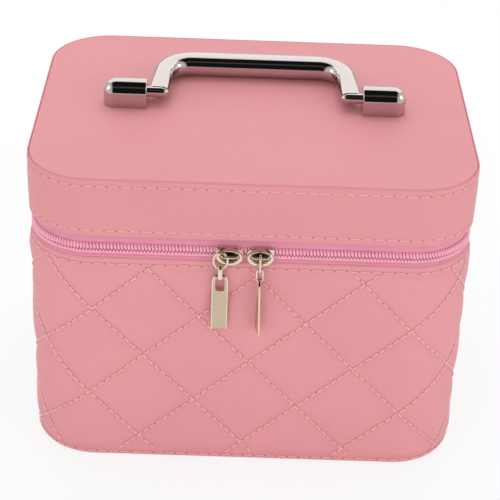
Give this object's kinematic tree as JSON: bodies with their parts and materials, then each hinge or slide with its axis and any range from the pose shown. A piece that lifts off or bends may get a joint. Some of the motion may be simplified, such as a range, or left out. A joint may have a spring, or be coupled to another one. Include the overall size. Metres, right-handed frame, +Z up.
{
  "type": "vanity case",
  "caption": "Quilted vanity case with a zipped, hinged lid, two zip sliders with hanging pulls and a folding carry handle on top.",
  "frame": {"origin": "centre of the underside, on the surface that the case stands on", "axes": "+X to the right, +Y to the back, +Z up; the zip sliders face -Y"},
  "size_m": [0.2422, 0.1911, 0.1947],
  "materials": {
    "quilted_leather": "satin, quilted in diamonds",
    "plain_leather": "satin, fine smooth grain",
    "lining": "woven lining",
    "board": "pressed board",
    "zip_tape": "woven tape",
    "zip_teeth": "nylon coil",
    "chrome": "mirror",
    "pale_metal": "polished pale nickel",
    "screw_steel": "zinc plated",
    "mirror": "silvered glass"
  },
  "bodies": {
    "base": {"base_wall_board": "board", "base_floor_board": "board", "base_quilted_cover": "quilted_leather", "base_bottom_cover": "plain_leather", "base_wall_lining": "lining", "base_floor_lining": "lining", "zip_tape_lower": "zip_tape", "zip_teeth_lower": "zip_teeth", "zip_end_tabs": "zip_tape", "hinge_strip_lower": "plain_leather"},
    "lid": {"lid_band_board": "board", "lid_top_board": "board", "lid_band_cover": "plain_leather", "lid_top_panel": "plain_leather", "lid_band_lining": "lining", "lid_top_lining": "lining", "zip_tape_upper": "zip_tape", "zip_teeth_upper": "zip_teeth", "hinge_strip_upper": "plain_leather", "mirror_frame": "plain_leather", "mirror_glass": "mirror", "handle_mount_left": "chrome", "handle_mount_right": "chrome", "mount_screws": "screw_steel", "mount_washers": "screw_steel"},
    "handle": {"handle_bail": "chrome"},
    "slider_left": {"slider_body_left": "pale_metal", "slider_bridge_left": "pale_metal"},
    "loop_left": {"pull_loop_left": "pale_metal"},
    "pull_left": {"pull_link_left": "pale_metal", "pull_tab_left": "pale_metal"},
    "slider_right": {"slider_body_right": "pale_metal", "slider_bridge_right": "pale_metal"},
    "loop_right": {"pull_loop_right": "pale_metal"},
    "pull_right": {"pull_link_right": "pale_metal", "pull_tab_right": "pale_metal"}
  },
  "joints": [
    {"name": "lid_hinge", "type": "hinge", "parent": "base", "child": "lid", "pos_m": [0, 0.0885, 0.14], "axis": [-1, 0, 0], "range_deg": [0, 110]},
    {"name": "handle_fold", "type": "hinge", "parent": "lid", "child": "handle", "pos_m": [0, 0, 0.1874], "axis": [1, 0, 0], "range_deg": [0, 180]},
    {"name": "slider_left_slide", "type": "slide", "parent": "base", "child": "slider_left", "axis": [-1, 0, 0], "range_m": [0, 0.066]},
    {"name": "slider_right_slide", "type": "slide", "parent": "base", "child": "slider_right", "axis": [1, 0, 0], "range_m": [0, 0.072]},
    {"name": "loop_left_swing", "type": "hinge", "parent": "slider_left", "child": "loop_left", "pos_m": [-0.0156, -0.09365, 0.14], "axis": [0, 1, 0], "range_deg": [-6, 30]},
    {"name": "pull_left_lift", "type": "hinge", "parent": "loop_left", "child": "pull_left", "pos_m": [-0.0156, -0.09365, 0.1316], "axis": [-1, 0, 0], "range_deg": [0, 90]},
    {"name": "loop_right_lift", "type": "hinge", "parent": "slider_right", "child": "loop_right", "pos_m": [0.0052, -0.09565, 0.14], "axis": [-1, 0, 0], "range_deg": [0, 100]},
    {"name": "pull_right_swing", "type": "hinge", "parent": "loop_right", "child": "pull_right", "pos_m": [0.0052, -0.09565, 0.1316], "axis": [0, -1, 0], "range_deg": [-6, 30]}
  ]
}
